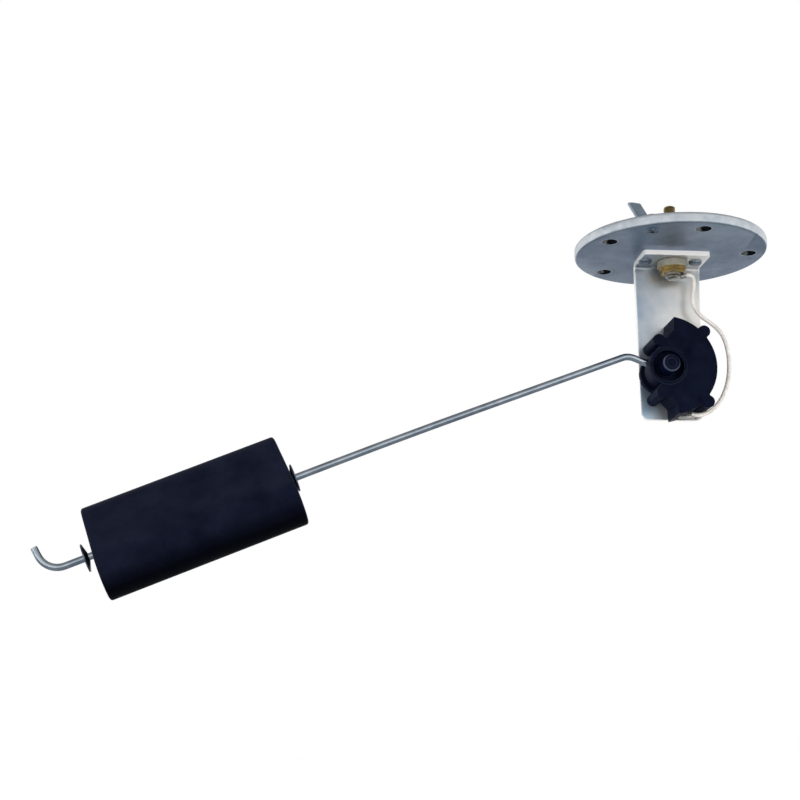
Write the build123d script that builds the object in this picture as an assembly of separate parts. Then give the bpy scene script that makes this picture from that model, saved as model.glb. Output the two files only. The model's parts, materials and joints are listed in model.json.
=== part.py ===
# Fuel level sender for a tank: a round five-hole flange, a folded bracket, a moulded
# rheostat housing, a bent wire arm and a foam float. Millimetres, +Z up, origin at the
# centre of the flange's seat face, X to the right and Y away from the viewer.
import math
import os

from build123d import *

os.makedirs("parts", exist_ok=True)

# Mounting flange
FLANGE_RADIUS = 33.0
FLANGE_THICKNESS = 3.8
FLANGE_TOP_ROUND = 1.1
FLANGE_SEAT_ROUND = 0.7
BOLT_CIRCLE_RADIUS = 27.0
BOLT_HOLE_RADIUS = 2.6
BOLT_HOLE_COUNT = 5
BOLT_START_ANGLE = -9.9

# Folded bracket
SHEET = 1.6
BEND_INNER_RADIUS = 1.0
LEG_FRONT_Y = -5.4
BRACKET_FACE_Y = 8.0
BRACKET_LEFT_X = -10.6
BRACKET_RIGHT_X = 12.9
BRACKET_BOTTOM_Z = -57.2
BRACKET_LEFT_FOOT_X = -10.8
BRACKET_RIGHT_FOOT_X = 11.5
BRACKET_CORNER_RADIUS = 3.0
LEG_CORNER_RADIUS = 1.2
BRACKET_RIVET_X = (-8.4, 9.6)
BRACKET_RIVET_Y = 2.0
BRACKET_RIVET_RADIUS = 1.5
BRACKET_RIVET_HEAD_RADIUS = 2.3
BRACKET_RIVET_HEAD = 0.8

# Earth tab riveted to the flange
TAB_RIVET_ANGLE = 242.0
TAB_TURN = 16.6
TAB_WIDTH = 4.9
TAB_THICKNESS = 0.8
TAB_FOOT_LENGTH = 4.0
TAB_BLADE_LENGTH = 11.6
TAB_RISE_ANGLE = 53.7
TAB_CORNER_CUT = 1.4
TAB_RIVET_RADIUS = 1.4
TAB_RIVET_BORE = 0.8
TAB_RIVET_HEAD_RADIUS = 2.3
TAB_RIVET_HEAD = 0.6

# Insulated terminal stud and its stack
STUD_X = 1.3
STUD_Y = 1.9
STUD_RADIUS = 2.1
STUD_TOP_Z = 19.0
STUD_BOTTOM_Z = -7.0
STUD_CLEARANCE = 0.05
BUSH_RADIUS = 3.0
BUSH_HOLE_RADIUS = 3.1
INSULATOR_RADIUS = 5.3
UPPER_INSULATOR = 2.0
LOWER_INSULATOR = 2.4
STUD_WASHER_RADIUS = 4.5
STUD_WASHER = 0.8
NUT_ACROSS_FLATS = 7.6
FIXING_NUT = 3.0
LOWER_NUT = 1.3
LOCK_WASHER = 0.9
EYELET_RADIUS = 2.9
EYELET = 0.7
EYELET_SLEEVE_RADIUS = 0.95

# Rheostat housing, measured from its own pivot; depths run towards the viewer
PIVOT_X = -4.2
PIVOT_Z = -41.4
FLOOR_BACK = -BRACKET_FACE_Y
FLOOR_FRONT = -6.2
PARTING = 1.5
PLATE_BACK = 3.7
PLATE_FRONT = 5.5
REVEAL = 0.25
INNER_CORNER = 0.5
CASE_RADIUS = 17.25
CASE_CENTRE = (-0.1, 0.5)
CASE_WALL = 1.3
CASE_EDGE_X = 3.0
HUB_PLATE_RADIUS = 6.6
HUB_WELL_RADIUS = 6.7
BOSS_RADIUS = 2.1
BOSSES = ((13.3, 12.6), (13.5, -12.0), (-2.1, -8.9), (-2.6, 9.2))
COLLAR_RADIUS = 6.5
COLLAR_BORE = 5.5
COLLAR_BACK = 1.0
COLLAR_FRONT = 5.9
SCREW_RADIUS = 0.8
SCREW_HEAD_RADIUS = 1.4
SCREW_HEAD = 1.2
SCREW_TIP = 4.2
CASE_RIVETS = ((5.2, 8.6), (5.2, -8.2))
CASE_RIVET_RADIUS = 1.2
CASE_RIVET_HEAD_RADIUS = 1.9
CASE_RIVET_HEAD = 0.7

# Resistor, wiper and terminal strip
TRACK_RADIUS = 12.5
TRACK_THICKNESS = 1.2
TRACK_START = -59.0
TRACK_END = 50.0
FORMER_FRONT = -3.9
FORMER_SEAT = 0.5
WINDING_FRONT = -3.6
WINDING_WALL = 0.2
WIPER_ANGLE = -23.0
WIPER_REACH = 13.2
WIPER_WIDTH = 2.6
WIPER_THICKNESS = 0.4
WIPER_DIMPLE = 0.2
SPRING_WASHER = 0.7
STRIP_THICKNESS = 0.5
STRIP_X = (4.7, 9.8)
STRIP_TOP = -16.1
STRIP_DEPTHS = (-2.0, 0.0)
STRIP_INNER_END = -10.7
STRIP_INNER_FOOT = -14.0
STRIP_INNER_BACK = -5.5
SOLDER_LENGTH = 1.0
SOLDER_PAD = 0.3

# Rotor and bent wire arm
RUNNING_CLEARANCE = 0.08
KNOB_RADIUS = 2.95
KNOB_FRONT = 10.0
KNOB_DIMPLE_RADIUS = 1.6
KNOB_DIMPLE = 0.5
ROTOR_FACE = 2.6
ROTOR_SHOULDER = 0.9
ROTOR_BODY_RADIUS = 5.9
ROTOR_BODY_BACK = -2.9
ROTOR_NECK_RADIUS = 3.4
ROTOR_NECK_BACK = -5.4
SPINDLE_RADIUS = 2.0
SPINDLE_BACK = -9.2
ROD_RADIUS = 1.2
ROD_DEPTH = -0.8
ROD_FIT = 0.01
ROD_INNER_END = 1.0
CRANK_ANGLE = 157.3
CRANK_LENGTH = 13.05
CRANK_BEND_RADIUS = 6.0
ARM_LEAN = 0.8
UPPER_ARM_DROP = 20.65
UPPER_ARM_LENGTH = 82.7
LOWER_ARM_DROP = 21.9
LOWER_ARM_LENGTH = 123.4
ARM_BOW_RADIUS = 2500.0
HOOK_ANGLE = 119.3
HOOK_LENGTH = 9.2
HOOK_BEND_RADIUS = 7.0

# Float and its push-on retainers, placed along the lower arm from the bow in the wire
FLOAT_START = 40.2
FLOAT_LENGTH = 67.0
FLOAT_WIDTH = 37.2
FLOAT_THICKNESS = 18.0
FLOAT_TILT = 37.7
FLOAT_EDGE_ROUND = 0.9
RETAINER_RADIUS = 4.7
RETAINER_SHEET = 0.4
RETAINER_DISH = 1.0
INNER_RETAINER_GAP = 0.25
OUTER_RETAINER_GAP = 2.1

# Signal lead from the eyelet to the terminal strip
LEAD_RADIUS = 0.72
LEAD_ROUTE = (
    (5.8, 1.9, -6.45),
    (7.1, 1.95, -6.05),
    (8.25, 2.0, -6.55),
    (8.85, 2.1, -7.8),
    (8.7, 2.2, -10.2),
    (7.9, 2.3, -14.2),
    (8.2, 2.4, -17.6),
    (10.3, 2.4, -20.9),
    (13.4, 2.4, -23.1),
    (16.2, 2.4, -25.3),
    (18.1, 2.3, -28.0),
    (19.2, 2.2, -31.8),
    (19.7, 2.1, -36.0),
    (19.5, 2.0, -40.5),
    (18.6, 1.9, -45.2),
    (16.8, 1.7, -49.6),
    (14.3, 1.5, -53.2),
    (11.2, 1.3, -55.8),
    (8.1, 1.1, -56.9),
    (4.9, 1.0, -56.65),
)


def ring(radius, low, high, x=0.0, y=0.0):
    """Upright cylinder from one height to another."""
    body = Cylinder(radius, high - low, align=(Align.CENTER, Align.CENTER, Align.MIN))
    return Pos(x, y, low) * body


def block(low, high):
    """Box from its lowest corner to its highest."""
    size = [end - start for start, end in zip(low, high)]
    return Pos(*low) * Box(*size, align=(Align.MIN, Align.MIN, Align.MIN))


def nearest_vertex(shape, point):
    return shape.vertices().sort_by_distance(point)[0]


def direction(angle):
    """Unit vector in the X-Z plane, measured from +X towards +Z."""
    return Vector(math.cos(math.radians(angle)), 0, math.sin(math.radians(angle)))


# Local frame of the housing: x to the right, y up, z towards the viewer
HOUSING = Plane(origin=(PIVOT_X, 0, PIVOT_Z), x_dir=(1, 0, 0), z_dir=(0, -1, 0)).location


def mounting_flange():
    disc = ring(FLANGE_RADIUS, 0, FLANGE_THICKNESS)
    rims = disc.edges().sort_by(Axis.Z)
    disc = fillet(rims[-1], FLANGE_TOP_ROUND)
    seat_rim = disc.edges().sort_by(Axis.Z)[0]
    disc = fillet(seat_rim, FLANGE_SEAT_ROUND)
    for number in range(BOLT_HOLE_COUNT):
        angle = math.radians(BOLT_START_ANGLE + 360 / BOLT_HOLE_COUNT * number)
        x = BOLT_CIRCLE_RADIUS * math.cos(angle)
        y = BOLT_CIRCLE_RADIUS * math.sin(angle)
        disc -= ring(BOLT_HOLE_RADIUS, -1, FLANGE_THICKNESS + 1, x, y)
    tab_x, tab_y = tab_rivet_place()
    disc -= ring(TAB_RIVET_RADIUS + 0.03, -1, FLANGE_THICKNESS + 1, tab_x, tab_y)
    for x in BRACKET_RIVET_X:
        disc -= ring(BRACKET_RIVET_RADIUS + 0.03, -1, FLANGE_THICKNESS + 1, x, BRACKET_RIVET_Y)
    disc -= ring(BUSH_HOLE_RADIUS, -1, FLANGE_THICKNESS + 1, STUD_X, STUD_Y)
    return disc


def bracket():
    back_y = BRACKET_FACE_Y + SHEET
    section = make_face(Polyline(
        (LEG_FRONT_Y, 0), (back_y, 0), (back_y, BRACKET_BOTTOM_Z),
        (BRACKET_FACE_Y, BRACKET_BOTTOM_Z), (BRACKET_FACE_Y, -SHEET), (LEG_FRONT_Y, -SHEET),
        close=True,
    ))
    section = fillet(nearest_vertex(section, (back_y, 0, 0)), BEND_INNER_RADIUS + SHEET)
    section = fillet(nearest_vertex(section, (BRACKET_FACE_Y, -SHEET, 0)), BEND_INNER_RADIUS)
    side = Plane(origin=(BRACKET_LEFT_X, 0, 0), x_dir=(0, 1, 0), z_dir=(1, 0, 0))
    folded = extrude(side * section, BRACKET_RIGHT_X - BRACKET_LEFT_X)
    outline = make_face(Polyline(
        (BRACKET_LEFT_X, 0), (BRACKET_RIGHT_X, 0),
        (BRACKET_RIGHT_FOOT_X, BRACKET_BOTTOM_Z), (BRACKET_LEFT_FOOT_X, BRACKET_BOTTOM_Z),
        close=True,
    ))
    for foot_x in (BRACKET_RIGHT_FOOT_X, BRACKET_LEFT_FOOT_X):
        corner = nearest_vertex(outline, (foot_x, BRACKET_BOTTOM_Z, 0))
        outline = fillet(corner, BRACKET_CORNER_RADIUS)
    front = Plane(origin=(0, back_y + 1, 0), x_dir=(1, 0, 0), z_dir=(0, -1, 0))
    blank = extrude(front * outline, back_y + 2 - LEG_FRONT_Y)
    folded = folded & blank
    plan = make_face(Polyline(
        (BRACKET_LEFT_X, LEG_FRONT_Y), (BRACKET_RIGHT_X, LEG_FRONT_Y),
        (BRACKET_RIGHT_X, back_y), (BRACKET_LEFT_X, back_y), close=True,
    ))
    for corner_x in (BRACKET_LEFT_X, BRACKET_RIGHT_X):
        corner = nearest_vertex(plan, (corner_x, LEG_FRONT_Y, 0))
        plan = fillet(corner, LEG_CORNER_RADIUS)
    folded = folded & slab(plan, BRACKET_BOTTOM_Z - 1, 1)
    folded -= ring(BUSH_HOLE_RADIUS, -SHEET - 1, 1, STUD_X, STUD_Y)
    for x in BRACKET_RIVET_X:
        folded -= ring(BRACKET_RIVET_RADIUS + 0.03, -SHEET - 1, 1, x, BRACKET_RIVET_Y)
    holes = ring(SPINDLE_RADIUS + 0.8, FLOOR_BACK - SHEET - 1, FLOOR_BACK + 1)
    for x, y in CASE_RIVETS:
        holes += ring(CASE_RIVET_RADIUS + 0.03, FLOOR_BACK - SHEET - 1, FLOOR_BACK + 1, x, y)
    return folded - HOUSING * holes


def domed_rivet(radius, head_radius, head, low, high):
    """Rivet with a low domed head at each end of its grip."""
    shank = ring(radius, low, high)
    top = ring(head_radius, high, high + head)
    top = fillet(top.edges().sort_by(Axis.Z)[-1], head * 0.7)
    bottom = ring(head_radius, low - head, low)
    bottom = fillet(bottom.edges().sort_by(Axis.Z)[0], head * 0.7)
    return shank + top + bottom


def bracket_rivets():
    rivets = []
    for x in BRACKET_RIVET_X:
        rivet = domed_rivet(
            BRACKET_RIVET_RADIUS, BRACKET_RIVET_HEAD_RADIUS, BRACKET_RIVET_HEAD,
            -SHEET, FLANGE_THICKNESS,
        )
        rivets.append(Pos(x, BRACKET_RIVET_Y, 0) * rivet)
    return Compound(children=rivets)


def tab_rivet_place():
    angle = math.radians(TAB_RIVET_ANGLE)
    return BOLT_CIRCLE_RADIUS * math.cos(angle), BOLT_CIRCLE_RADIUS * math.sin(angle)


def earth_tab():
    """Flat foot round the rivet, a bend, and a blade that leans over the flange."""
    foot_end = TAB_FOOT_LENGTH
    blade_x = TAB_BLADE_LENGTH * math.cos(math.radians(TAB_RISE_ANGLE))
    blade_z = TAB_BLADE_LENGTH * math.sin(math.radians(TAB_RISE_ANGLE))
    path = FilletPolyline(
        (0, 0, 0), (foot_end, 0, 0), (foot_end + blade_x, 0, blade_z), radius=1.2,
    )
    middle = TAB_THICKNESS / 2
    section = Plane(origin=(0, 0, 0), x_dir=(0, 1, 0), z_dir=(1, 0, 0))
    strip = sweep(section * Rectangle(TAB_WIDTH, TAB_THICKNESS), path=path)
    tip = Plane(
        origin=(foot_end + blade_x, 0, blade_z),
        x_dir=(0, 1, 0),
        z_dir=(-math.sin(math.radians(TAB_RISE_ANGLE)), 0, math.cos(math.radians(TAB_RISE_ANGLE))),
    )
    half = TAB_WIDTH / 2
    corner = make_face(Polyline(
        (half + 0.1, 0.1), (half + 0.1, -TAB_CORNER_CUT * 1.6), (half - TAB_CORNER_CUT, 0.1), close=True,
    ))
    corner = Pos(0, 0, -1) * corner
    strip = Pos(0, 0, middle) * strip
    foot = ring(TAB_WIDTH / 2, 0, TAB_THICKNESS)
    blade_cut = extrude(tip * corner, 2 + TAB_THICKNESS)
    tab = strip + foot - blade_cut - ring(TAB_RIVET_RADIUS + 0.03, -1, 2)
    x, y = tab_rivet_place()
    return Pos(x, y, FLANGE_THICKNESS) * Rot(0, 0, 90 + TAB_TURN) * tab


def tab_rivet():
    x, y = tab_rivet_place()
    top = FLANGE_THICKNESS + TAB_THICKNESS
    rivet = domed_rivet(TAB_RIVET_RADIUS, TAB_RIVET_HEAD_RADIUS, TAB_RIVET_HEAD, 0, top)
    rivet -= ring(TAB_RIVET_BORE, -2, FLANGE_THICKNESS)
    return Pos(x, y, 0) * rivet


def hex_nut(low, height):
    blank = RegularPolygon(NUT_ACROSS_FLATS / 2, 6, major_radius=False)
    nut = Pos(0, 0, low) * extrude(blank, height)
    nut = nut & chamfer_barrel(low, height)
    return nut - ring(STUD_RADIUS + STUD_CLEARANCE, low - 1, low + height + 1)


def chamfer_barrel(low, height):
    """Turned blank that takes the points off a hexagon."""
    barrel = ring(NUT_ACROSS_FLATS / 2 * 1.13, low, low + height)
    return chamfer(barrel.edges().filter_by(GeomType.CIRCLE), 0.35)


def stud_washer(low, radius, thickness):
    washer = ring(radius, low, low + thickness)
    return washer - ring(STUD_RADIUS + STUD_CLEARANCE, low - 1, low + thickness + 1)


def terminal_stud():
    stud = ring(STUD_RADIUS, STUD_BOTTOM_Z, STUD_TOP_Z)
    stud = fillet(stud.edges().sort_by(Axis.Z)[-1], 1.0)
    return chamfer(stud.edges().sort_by(Axis.Z)[0], 0.4)


def upper_insulator():
    low = FLANGE_THICKNESS
    flange = ring(INSULATOR_RADIUS, low, low + UPPER_INSULATOR)
    flange = fillet(flange.edges().sort_by(Axis.Z)[-1], 0.5)
    bush = ring(BUSH_RADIUS, -SHEET, low)
    return flange + bush - ring(STUD_RADIUS + STUD_CLEARANCE, -SHEET - 1, low + UPPER_INSULATOR + 1)


def lower_insulator():
    low = -SHEET - LOWER_INSULATOR
    body = ring(INSULATOR_RADIUS, low, -SHEET)
    body = fillet(body.edges().filter_by(GeomType.CIRCLE), 0.35)
    return body - ring(STUD_RADIUS + STUD_CLEARANCE, low - 1, 0)


def lock_washer(low):
    """Split spring washer, laid flat under the terminal nut."""
    washer = stud_washer(low, 3.6, LOCK_WASHER)
    slit = Pos(3.0, 0, low + LOCK_WASHER / 2) * Rot(30, 0, 0) * Box(4.0, 0.5, 4.0)
    return washer - slit


def stud_stack():
    """Everything that sits on the stud, keyed by node name."""
    top = FLANGE_THICKNESS + UPPER_INSULATOR
    nut_low = top + STUD_WASHER
    lock_low = nut_low + FIXING_NUT
    terminal_low = lock_low + LOCK_WASHER
    bottom = -SHEET - LOWER_INSULATOR
    lower_washer_low = bottom - STUD_WASHER
    lower_nut_low = lower_washer_low - LOWER_NUT
    pieces = {
        "terminal_stud": terminal_stud(),
        "upper_insulator": upper_insulator(),
        "lower_insulator": lower_insulator(),
        "upper_stud_washer": stud_washer(top, STUD_WASHER_RADIUS, STUD_WASHER),
        "fixing_nut": Rot(0, 0, 12) * hex_nut(nut_low, FIXING_NUT),
        "terminal_lock_washer": lock_washer(lock_low),
        "terminal_nut": Rot(0, 0, 40) * hex_nut(terminal_low, FIXING_NUT),
        "lower_stud_washer": stud_washer(lower_washer_low, STUD_WASHER_RADIUS, STUD_WASHER),
        "lower_stud_nut": Rot(0, 0, 20) * hex_nut(lower_nut_low, LOWER_NUT),
    }
    placed = {}
    for name, piece in pieces.items():
        placed[name] = Pos(STUD_X, STUD_Y, 0) * piece
    return placed


def solder_eyelet():
    """Ring soldered to the end of the stud, with a sleeve that the lead enters."""
    high = -SHEET - LOWER_INSULATOR - STUD_WASHER - LOWER_NUT
    plate = ring(EYELET_RADIUS, high - EYELET, high, STUD_X, STUD_Y)
    start = Vector(*LEAD_ROUTE[0])
    lead_way = (Vector(*LEAD_ROUTE[1]) - start).normalized()
    sleeve_length = 1.9
    sleeve_frame = Plane(origin=start - lead_way * sleeve_length, z_dir=lead_way).location
    sleeve = sleeve_frame * ring(EYELET_SLEEVE_RADIUS, 0, sleeve_length)
    eyelet = plate + sleeve
    eyelet -= ring(STUD_RADIUS + STUD_CLEARANCE, high - 3, high + 3, STUD_X, STUD_Y)
    return eyelet & (Pos(0, 0, high - 5) * Box(60, 60, 10))


def case_arc(radius, edge_x):
    """Round side of the moulding, from its upper cut to its lower one."""
    centre_x, centre_y = CASE_CENTRE
    rise = math.sqrt(radius ** 2 - (edge_x - centre_x) ** 2)
    return ThreePointArc(
        (edge_x, centre_y + rise), (centre_x + radius, centre_y), (edge_x, centre_y - rise),
    )


def case_outline():
    """Front outline of the moulding: a round side, a notched side and four bosses."""
    arc = case_arc(CASE_RADIUS, CASE_EDGE_X)
    notches = Polyline(
        arc @ 1, (2.8, -12.3), (0.7, -9.7), BOSSES[2], BOSSES[3], (0.3, 10.2), (2.7, 12.9), arc @ 0,
    )
    outline = make_face([arc, notches]) + Circle(HUB_PLATE_RADIUS)
    for x, y in BOSSES:
        outline += Pos(x, y) * Circle(BOSS_RADIUS)
    return offset(offset(outline, INNER_CORNER, kind=Kind.ARC), -INNER_CORNER, kind=Kind.ARC)


def case_cavity():
    """Hollow inside the walls: the rotor's well and the swept chamber of the wiper."""
    edge_x = CASE_EDGE_X + CASE_WALL
    arc = case_arc(CASE_RADIUS - CASE_WALL, edge_x)
    sides = Polyline(
        arc @ 1, (edge_x, -11.6), (2.0, -8.2), (0, -5), (0, 5), (1.4, 8.6), (edge_x, 12.3), arc @ 0,
    )
    return make_face([arc, sides]) + Circle(HUB_WELL_RADIUS)


def slab(sketch, low, high):
    return extrude(Pos(0, 0, low) * sketch, high - low)


def housing_base():
    outline = case_outline()
    base = slab(outline, FLOOR_BACK, PARTING)
    base -= slab(case_cavity(), FLOOR_FRONT, PARTING + 1)
    base -= ring(SPINDLE_RADIUS + RUNNING_CLEARANCE, FLOOR_BACK - 1, 0)
    for x, y in BOSSES:
        base -= ring(SCREW_RADIUS + 0.1, FLOOR_BACK - 1, PARTING + 1, x, y)
        base -= ring(SCREW_HEAD_RADIUS + 0.1, FLOOR_BACK - 1, FLOOR_BACK + SCREW_HEAD + 0.2, x, y)
    for x, y in CASE_RIVETS:
        base -= ring(CASE_RIVET_RADIUS + 0.03, FLOOR_BACK - 1, 0, x, y)
    base -= track_arc(TRACK_THICKNESS + 0.1, FLOOR_FRONT - FORMER_SEAT, FLOOR_FRONT + 0.1)
    slot_x = STRIP_X[0] + STRIP_THICKNESS / 2
    slot_depth = (STRIP_DEPTHS[0] + STRIP_DEPTHS[1]) / 2
    slot_width = STRIP_DEPTHS[1] - STRIP_DEPTHS[0] + 0.1
    slot = Pos(slot_x, STRIP_TOP + 1.2, slot_depth) * Box(STRIP_THICKNESS + 0.1, 5, slot_width)
    return HOUSING * (base - slot)


def housing_cover():
    outline = case_outline()
    plate = slab(outline, PLATE_BACK, PLATE_FRONT)
    front_edges = plate.edges().group_by(Axis.Z)[-1]
    plate = fillet(front_edges, 0.35)
    walls = outline - case_cavity()
    skirt = slab(walls, PARTING + REVEAL, PLATE_BACK)
    skirt += slab(offset(outline, -REVEAL) - case_cavity(), PARTING, PARTING + REVEAL)
    cover = plate + skirt + ring(COLLAR_RADIUS, COLLAR_BACK, COLLAR_FRONT)
    cover -= ring(COLLAR_BORE, COLLAR_BACK - 1, COLLAR_FRONT + 1)
    for x, y in BOSSES:
        cover -= ring(SCREW_RADIUS + 0.02, PARTING - 1, SCREW_TIP + 0.2, x, y)
    return HOUSING * cover


def cover_screws():
    """Thread-forming screws from the back, heads sunk below the seat of the base."""
    screws = []
    head_low = FLOOR_BACK + 0.2
    head_high = head_low + SCREW_HEAD
    for x, y in BOSSES:
        head = ring(SCREW_HEAD_RADIUS, head_low, head_high)
        shank = ring(SCREW_RADIUS, head_high, SCREW_TIP)
        shank = chamfer(shank.edges().sort_by(Axis.Z)[-1], 0.4)
        screw = head + shank - Pos(0, 0, head_low) * (Box(1.9, 0.4, 0.9) + Box(0.4, 1.9, 0.9))
        screws.append(HOUSING * (Pos(x, y, 0) * screw))
    return Compound(children=screws)


def case_rivets():
    rivets = []
    for x, y in CASE_RIVETS:
        rivet = domed_rivet(
            CASE_RIVET_RADIUS, CASE_RIVET_HEAD_RADIUS, CASE_RIVET_HEAD,
            FLOOR_BACK - SHEET, FLOOR_FRONT,
        )
        rivets.append(HOUSING * (Pos(x, y, 0) * rivet))
    return Compound(children=rivets)


def track_arc(thickness, low, high, start=TRACK_START, end=TRACK_END):
    """Curved strip on edge, round the pivot."""
    outer = ring(TRACK_RADIUS + thickness / 2, low, high)
    inner = ring(TRACK_RADIUS - thickness / 2, low - 1, high + 1)
    reach = 2 * CASE_RADIUS
    corners = [(0, 0)]
    steps = 4
    for step in range(steps + 1):
        angle = math.radians(start + (end - start) * step / steps)
        corners.append((reach * math.cos(angle), reach * math.sin(angle)))
    wedge = slab(make_face(Polyline(*corners, close=True)), low - 1, high + 1)
    return (outer - inner) & wedge


def resistor_former():
    low = FLOOR_FRONT - FORMER_SEAT
    return HOUSING * track_arc(TRACK_THICKNESS, low, FORMER_FRONT)


def resistor_winding():
    """Resistance wire round the former, as one sleeve that stops short of its ends."""
    low = FLOOR_FRONT + 0.05
    span = (TRACK_START + 1.5, TRACK_END - 1.5)
    sleeve = track_arc(TRACK_THICKNESS + 2 * WINDING_WALL, low, WINDING_FRONT, *span)
    core = track_arc(TRACK_THICKNESS, low - 1, FORMER_FRONT)
    return HOUSING * (sleeve - core)


def terminal_strip():
    """Tinned strip: broad inner end, neck through the wall's slot, foot bent to the right."""
    left, right = STRIP_X
    back, front = STRIP_DEPTHS
    low = STRIP_TOP - STRIP_THICKNESS
    face_x = left + STRIP_THICKNESS
    strip = block((left, low, back), (right, STRIP_TOP, front))
    strip += block((left, low, back), (face_x, STRIP_INNER_END, front))
    strip += block((left, STRIP_INNER_FOOT, STRIP_INNER_BACK), (face_x, STRIP_INNER_END, front))
    outside = strip.edges().filter_by(Axis.Z).sort_by_distance((left, low, 0))[0]
    return HOUSING * fillet(outside, STRIP_THICKNESS * 0.9)


def strip_solder():
    """Solder that joins the bared end of the lead to the strip."""
    end = Vector(*LEAD_ROUTE[-1])
    before = Vector(*LEAD_ROUTE[-2])
    frame = Plane(origin=end, z_dir=end - before).location
    bead = frame * Cone(
        LEAD_RADIUS * 0.9, LEAD_RADIUS * 0.4, SOLDER_LENGTH,
        align=(Align.CENTER, Align.CENTER, Align.MIN),
    )
    strip_top = PIVOT_Z + STRIP_TOP
    pad = block(
        (end.X - SOLDER_LENGTH, end.Y - LEAD_RADIUS * 0.8, strip_top),
        (end.X, end.Y + LEAD_RADIUS * 0.8, strip_top + SOLDER_PAD),
    )
    return bead + pad


def rotor():
    body = ring(KNOB_RADIUS, ROTOR_FACE, KNOB_FRONT)
    body = fillet(body.edges().sort_by(Axis.Z)[-1], 0.35)
    body -= ring(KNOB_DIMPLE_RADIUS, KNOB_FRONT - KNOB_DIMPLE, KNOB_FRONT + 1)
    body += ring(COLLAR_BORE - RUNNING_CLEARANCE, ROTOR_SHOULDER, ROTOR_FACE)
    body += ring(ROTOR_BODY_RADIUS, ROTOR_BODY_BACK, ROTOR_SHOULDER)
    body += ring(ROTOR_NECK_RADIUS, ROTOR_NECK_BACK, ROTOR_BODY_BACK)
    body += ring(SPINDLE_RADIUS, SPINDLE_BACK, ROTOR_NECK_BACK)
    angle = math.radians(CRANK_ANGLE)
    way = Vector(math.cos(angle), math.sin(angle), 0)
    hole_frame = Plane(origin=way * ROD_INNER_END + Vector(0, 0, ROD_DEPTH), z_dir=way).location
    return HOUSING * (body - hole_frame * ring(ROD_RADIUS + ROD_FIT, 0, 2 * ROTOR_BODY_RADIUS))


def wiper_blade():
    """Brass leaf staked behind the rotor, its dimple riding on the winding."""
    high = ROTOR_BODY_BACK
    low = high - WIPER_THICKNESS
    collar = ring(ROTOR_BODY_RADIUS - 0.4, low, high)
    reach = WIPER_REACH
    arm = make_face(Polyline(
        (3.0, -WIPER_WIDTH), (reach, -WIPER_WIDTH / 2), (reach, WIPER_WIDTH / 2),
        (3.0, WIPER_WIDTH), close=True,
    ))
    blade = collar + slab(arm, low, high) + ring(0.6, low - WIPER_DIMPLE, low, TRACK_RADIUS, 0)
    blade -= ring(ROTOR_NECK_RADIUS + 0.02, low - 1, high + 1)
    return HOUSING * (Rot(0, 0, WIPER_ANGLE) * blade)


def earth_spring_washer():
    low = FLOOR_FRONT
    washer = ring(ROTOR_NECK_RADIUS, low, low + SPRING_WASHER)
    return HOUSING * (washer - ring(SPINDLE_RADIUS + 0.4, low - 1, low + 2))


def arm_way(drop):
    """Direction of a straight run of the arm, down to the left and slightly away."""
    lean = math.radians(ARM_LEAN)
    return direction(180 + drop) * math.cos(lean) + Vector(0, 1, 0) * math.sin(lean)


def crank_point():
    pivot = Vector(PIVOT_X, -ROD_DEPTH, PIVOT_Z)
    return pivot + direction(CRANK_ANGLE) * CRANK_LENGTH


def on_arm(distance):
    """Point on the lower run, measured from the slight bow in the wire."""
    bow = crank_point() + arm_way(UPPER_ARM_DROP) * UPPER_ARM_LENGTH
    return bow + arm_way(LOWER_ARM_DROP) * distance


def arm_frame(distance):
    """Frame on the lower run: z along it, x square to it and upright."""
    way = arm_way(LOWER_ARM_DROP)
    across = way.cross(Vector(0, -1, 0)).normalized()
    return Plane(origin=on_arm(distance), x_dir=across, z_dir=way)


def float_rod():
    pivot = Vector(PIVOT_X, -ROD_DEPTH, PIVOT_Z)
    start = pivot + direction(CRANK_ANGLE) * ROD_INNER_END
    hook = on_arm(LOWER_ARM_LENGTH)
    tip = hook + direction(HOOK_ANGLE) * HOOK_LENGTH
    path = FilletPolyline(
        start, crank_point(), on_arm(0), hook, tip,
        radius=(CRANK_BEND_RADIUS, ARM_BOW_RADIUS, HOOK_BEND_RADIUS),
    )
    section = Plane(origin=start, z_dir=direction(CRANK_ANGLE))
    return sweep(section * Circle(ROD_RADIUS), path=path)


def float_body():
    """Flat-sided foam bar with round edges, bored for the arm and turned on it."""
    frame = arm_frame(FLOAT_START).location * Rot(0, 0, FLOAT_TILT)
    section = SlotOverall(FLOAT_WIDTH, FLOAT_THICKNESS)
    bar = extrude(section, FLOAT_LENGTH)
    ends = bar.edges().filter_by(GeomType.LINE, reverse=True) + bar.edges().filter_by(GeomType.LINE)
    rims = [edge for edge in ends if abs(edge.center().Z - FLOAT_LENGTH / 2) > FLOAT_LENGTH / 2 - 0.01]
    bar = fillet(rims, FLOAT_EDGE_ROUND)
    bar -= ring(ROD_RADIUS + RUNNING_CLEARANCE, -1, FLOAT_LENGTH + 1)
    return frame * bar


def retainer(distance, rim_way):
    """Dished push-on washer; its middle faces the float and its rim stands off."""
    hole = ROD_RADIUS + ROD_FIT
    profile = make_face(Polyline(
        (hole, 0), (RETAINER_RADIUS, RETAINER_DISH),
        (RETAINER_RADIUS, RETAINER_DISH + RETAINER_SHEET), (hole, RETAINER_SHEET), close=True,
    ))
    cone = revolve(Plane.XZ * profile, Axis.Z)
    frame = arm_frame(distance)
    turned = Plane(origin=frame.origin, x_dir=frame.x_dir, z_dir=frame.z_dir * rim_way)
    return turned.location * cone


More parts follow.
